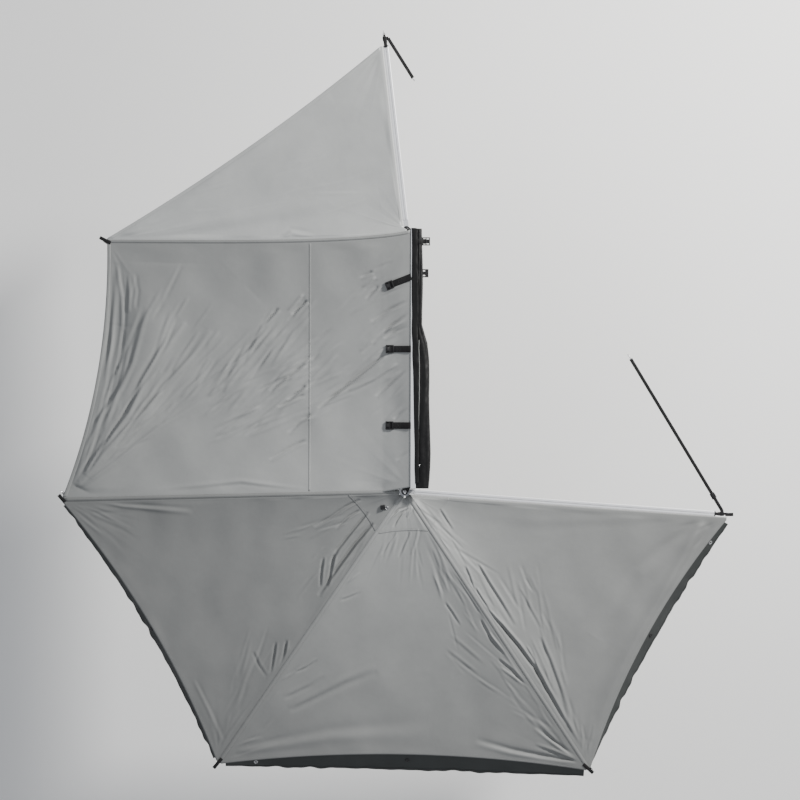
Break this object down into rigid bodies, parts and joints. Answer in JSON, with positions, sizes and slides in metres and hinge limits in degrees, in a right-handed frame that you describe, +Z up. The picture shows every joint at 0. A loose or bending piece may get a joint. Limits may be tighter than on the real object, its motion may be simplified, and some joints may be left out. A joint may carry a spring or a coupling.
{
  "type": "vehicle side awning",
  "caption": "Free-standing fan awning for a vehicle's left side: folding arms on a rear hub, cloth panels, valances, rail, brackets, bag and tie straps",
  "frame": {"origin": "centre of the underside of the middle mounting bracket, where it bolts to a roof bar", "axes": "+Z up, +Y towards the vehicle's front, +X towards the vehicle"},
  "size_m": [4.9594, 5.4624, 0.4238],
  "materials": {
    "canopy_cloth": "satin coated",
    "valance_cloth": "matte",
    "bag_cloth": "matte coated",
    "webbing": "matte woven",
    "aluminium": "satin anodised",
    "bright_steel": "zinc plated",
    "black_steel": "powder coated",
    "black_plastic": "moulded"
  },
  "bodies": {
    "root": {"rail": "aluminium", "rail_cap_rear": "black_plastic", "rail_cap_front": "black_plastic", "mount_bracket_rear": "black_steel", "mount_bracket_middle": "black_steel", "mount_bracket_front": "black_steel", "hub_bracket": "black_steel", "hub_pin": "bright_steel", "hub_nut": "bright_steel", "front_bracket": "black_steel", "front_pin": "bright_steel", "bag": "bag_cloth", "bag_strap": "webbing", "storage_strap_front": "webbing", "storage_strap_middle": "webbing", "storage_strap_rear": "webbing", "canopy_side_panel": "canopy_cloth"},
    "arm_b": {"arm_b_knuckle": "black_steel", "arm_b_tube": "aluminium", "arm_b_tip_plug": "black_plastic"},
    "arm_c": {"arm_c_knuckle": "black_steel", "arm_c_tube": "aluminium", "arm_c_tip_plug": "black_plastic", "canopy_rear_left_panel": "canopy_cloth", "valance_rear_left": "valance_cloth"},
    "arm_d": {"arm_d_knuckle": "black_steel", "arm_d_tube": "aluminium", "arm_d_tip_plug": "black_plastic", "canopy_rear_panel": "canopy_cloth", "valance_rear": "valance_cloth"},
    "arm_e": {"arm_e_knuckle": "black_steel", "arm_e_tube": "aluminium", "arm_e_tip_plug": "black_plastic", "canopy_rear_right_panel": "canopy_cloth", "valance_rear_right": "valance_cloth"},
    "arm_f": {"arm_f_knuckle": "black_steel", "arm_f_tube": "aluminium", "arm_f_tip_plug": "black_plastic", "rear_tie_strap": "webbing", "rear_tie_buckle": "black_plastic", "rear_tie_hook": "bright_steel"},
    "arm_a": {"arm_a_knuckle": "black_steel", "arm_a_tube": "aluminium", "arm_a_tip_plug": "black_plastic", "canopy_front_panel": "canopy_cloth", "front_tie_strap": "webbing", "front_tie_hook": "bright_steel"},
    "tip_a": {"arm_a_tip_bracket": "black_plastic", "arm_a_tip_ring": "bright_steel"},
    "tip_b": {"arm_b_tip_bracket": "black_plastic", "arm_b_tip_ring": "bright_steel"},
    "tip_c": {"arm_c_tip_bracket": "black_plastic", "arm_c_tip_ring": "bright_steel"},
    "tip_d": {"arm_d_tip_bracket": "black_plastic", "arm_d_tip_ring": "bright_steel"},
    "tip_e": {"arm_e_tip_bracket": "black_plastic", "arm_e_tip_ring": "bright_steel"},
    "tip_f": {"arm_f_tip_bracket": "black_plastic", "arm_f_tip_ring": "bright_steel"}
  },
  "joints": [
    {"name": "fold", "type": "hinge", "parent": "root", "child": "arm_c", "pos_m": [-0.1243, -0.96, -0.0345], "axis": [0, 0, -1], "range_deg": [0, 91.6], "deforming": ["canopy_side_panel"]},
    {"name": "fold_arm_b", "type": "hinge", "parent": "root", "child": "arm_b", "pos_m": [-0.1243, -0.96, -0.1425], "axis": [0, 0, -1], "range_deg": [0, 50.2]},
    {"name": "fold_arm_d", "type": "hinge", "parent": "arm_c", "child": "arm_d", "pos_m": [-0.1243, -0.96, -0.0615], "axis": [0, 0, -1], "range_deg": [0, 54.1], "deforming": ["canopy_rear_left_panel", "valance_rear_left"]},
    {"name": "fold_arm_e", "type": "hinge", "parent": "arm_d", "child": "arm_e", "pos_m": [-0.1243, -0.96, -0.0885], "axis": [0, 0, -1], "range_deg": [0, 67.9], "deforming": ["canopy_rear_panel", "valance_rear"]},
    {"name": "fold_arm_f", "type": "hinge", "parent": "arm_e", "child": "arm_f", "pos_m": [-0.1243, -0.96, -0.1155], "axis": [0, 0, -1], "range_deg": [0, 52.3], "deforming": ["canopy_rear_right_panel", "valance_rear_right", "rear_tie_strap"]},
    {"name": "fold_arm_a", "type": "hinge", "parent": "root", "child": "arm_a", "pos_m": [-0.1163, 0.96, 0.0075], "axis": [0, 0, 1], "range_deg": [0, 173.4], "deforming": ["canopy_front_panel", "front_tie_strap"]},
    {"name": "tip_swivel_a", "type": "hinge", "parent": "arm_a", "child": "tip_a", "pos_m": [-0.27466, 2.32867, -0.01533], "axis": [-0.002, 0.0173, 0.9998], "range_deg": [-63, 10]},
    {"name": "tip_swivel_b", "type": "hinge", "parent": "arm_b", "child": "tip_b", "pos_m": [-2.30638, 0.85804, -0.28768], "axis": [-0.0402, 0.0335, 0.9986], "range_deg": [-73, 47]},
    {"name": "tip_swivel_c", "type": "hinge", "parent": "arm_c", "child": "tip_c", "pos_m": [-2.60403, -1.02927, -0.16084], "axis": [-0.0523, -0.0015, 0.9986], "range_deg": [-10, 110]},
    {"name": "tip_swivel_d", "type": "hinge", "parent": "arm_d", "child": "tip_d", "pos_m": [-1.46934, -2.93175, -0.18292], "axis": [-0.0295, -0.0432, 0.9986], "range_deg": [-55, 65]},
    {"name": "tip_swivel_e", "type": "hinge", "parent": "arm_e", "child": "tip_e", "pos_m": [1.21589, -2.97715, -0.21175], "axis": [0.029, -0.0436, 0.9986], "range_deg": [-74, 46]},
    {"name": "tip_swivel_f", "type": "hinge", "parent": "arm_f", "child": "tip_f", "pos_m": [2.20063, -1.12665, -0.23399], "axis": [0.0522, -0.0037, 0.9986], "range_deg": [-65, 55]}
  ],
  "couplings": [
    {"joint": "fold_arm_b", "follows": "fold", "ratio": 0.548},
    {"joint": "fold_arm_d", "follows": "fold", "ratio": 0.5906},
    {"joint": "fold_arm_e", "follows": "fold", "ratio": 0.7413},
    {"joint": "fold_arm_f", "follows": "fold", "ratio": 0.571},
    {"joint": "fold_arm_a", "follows": "fold", "ratio": 1.893}
  ]
}
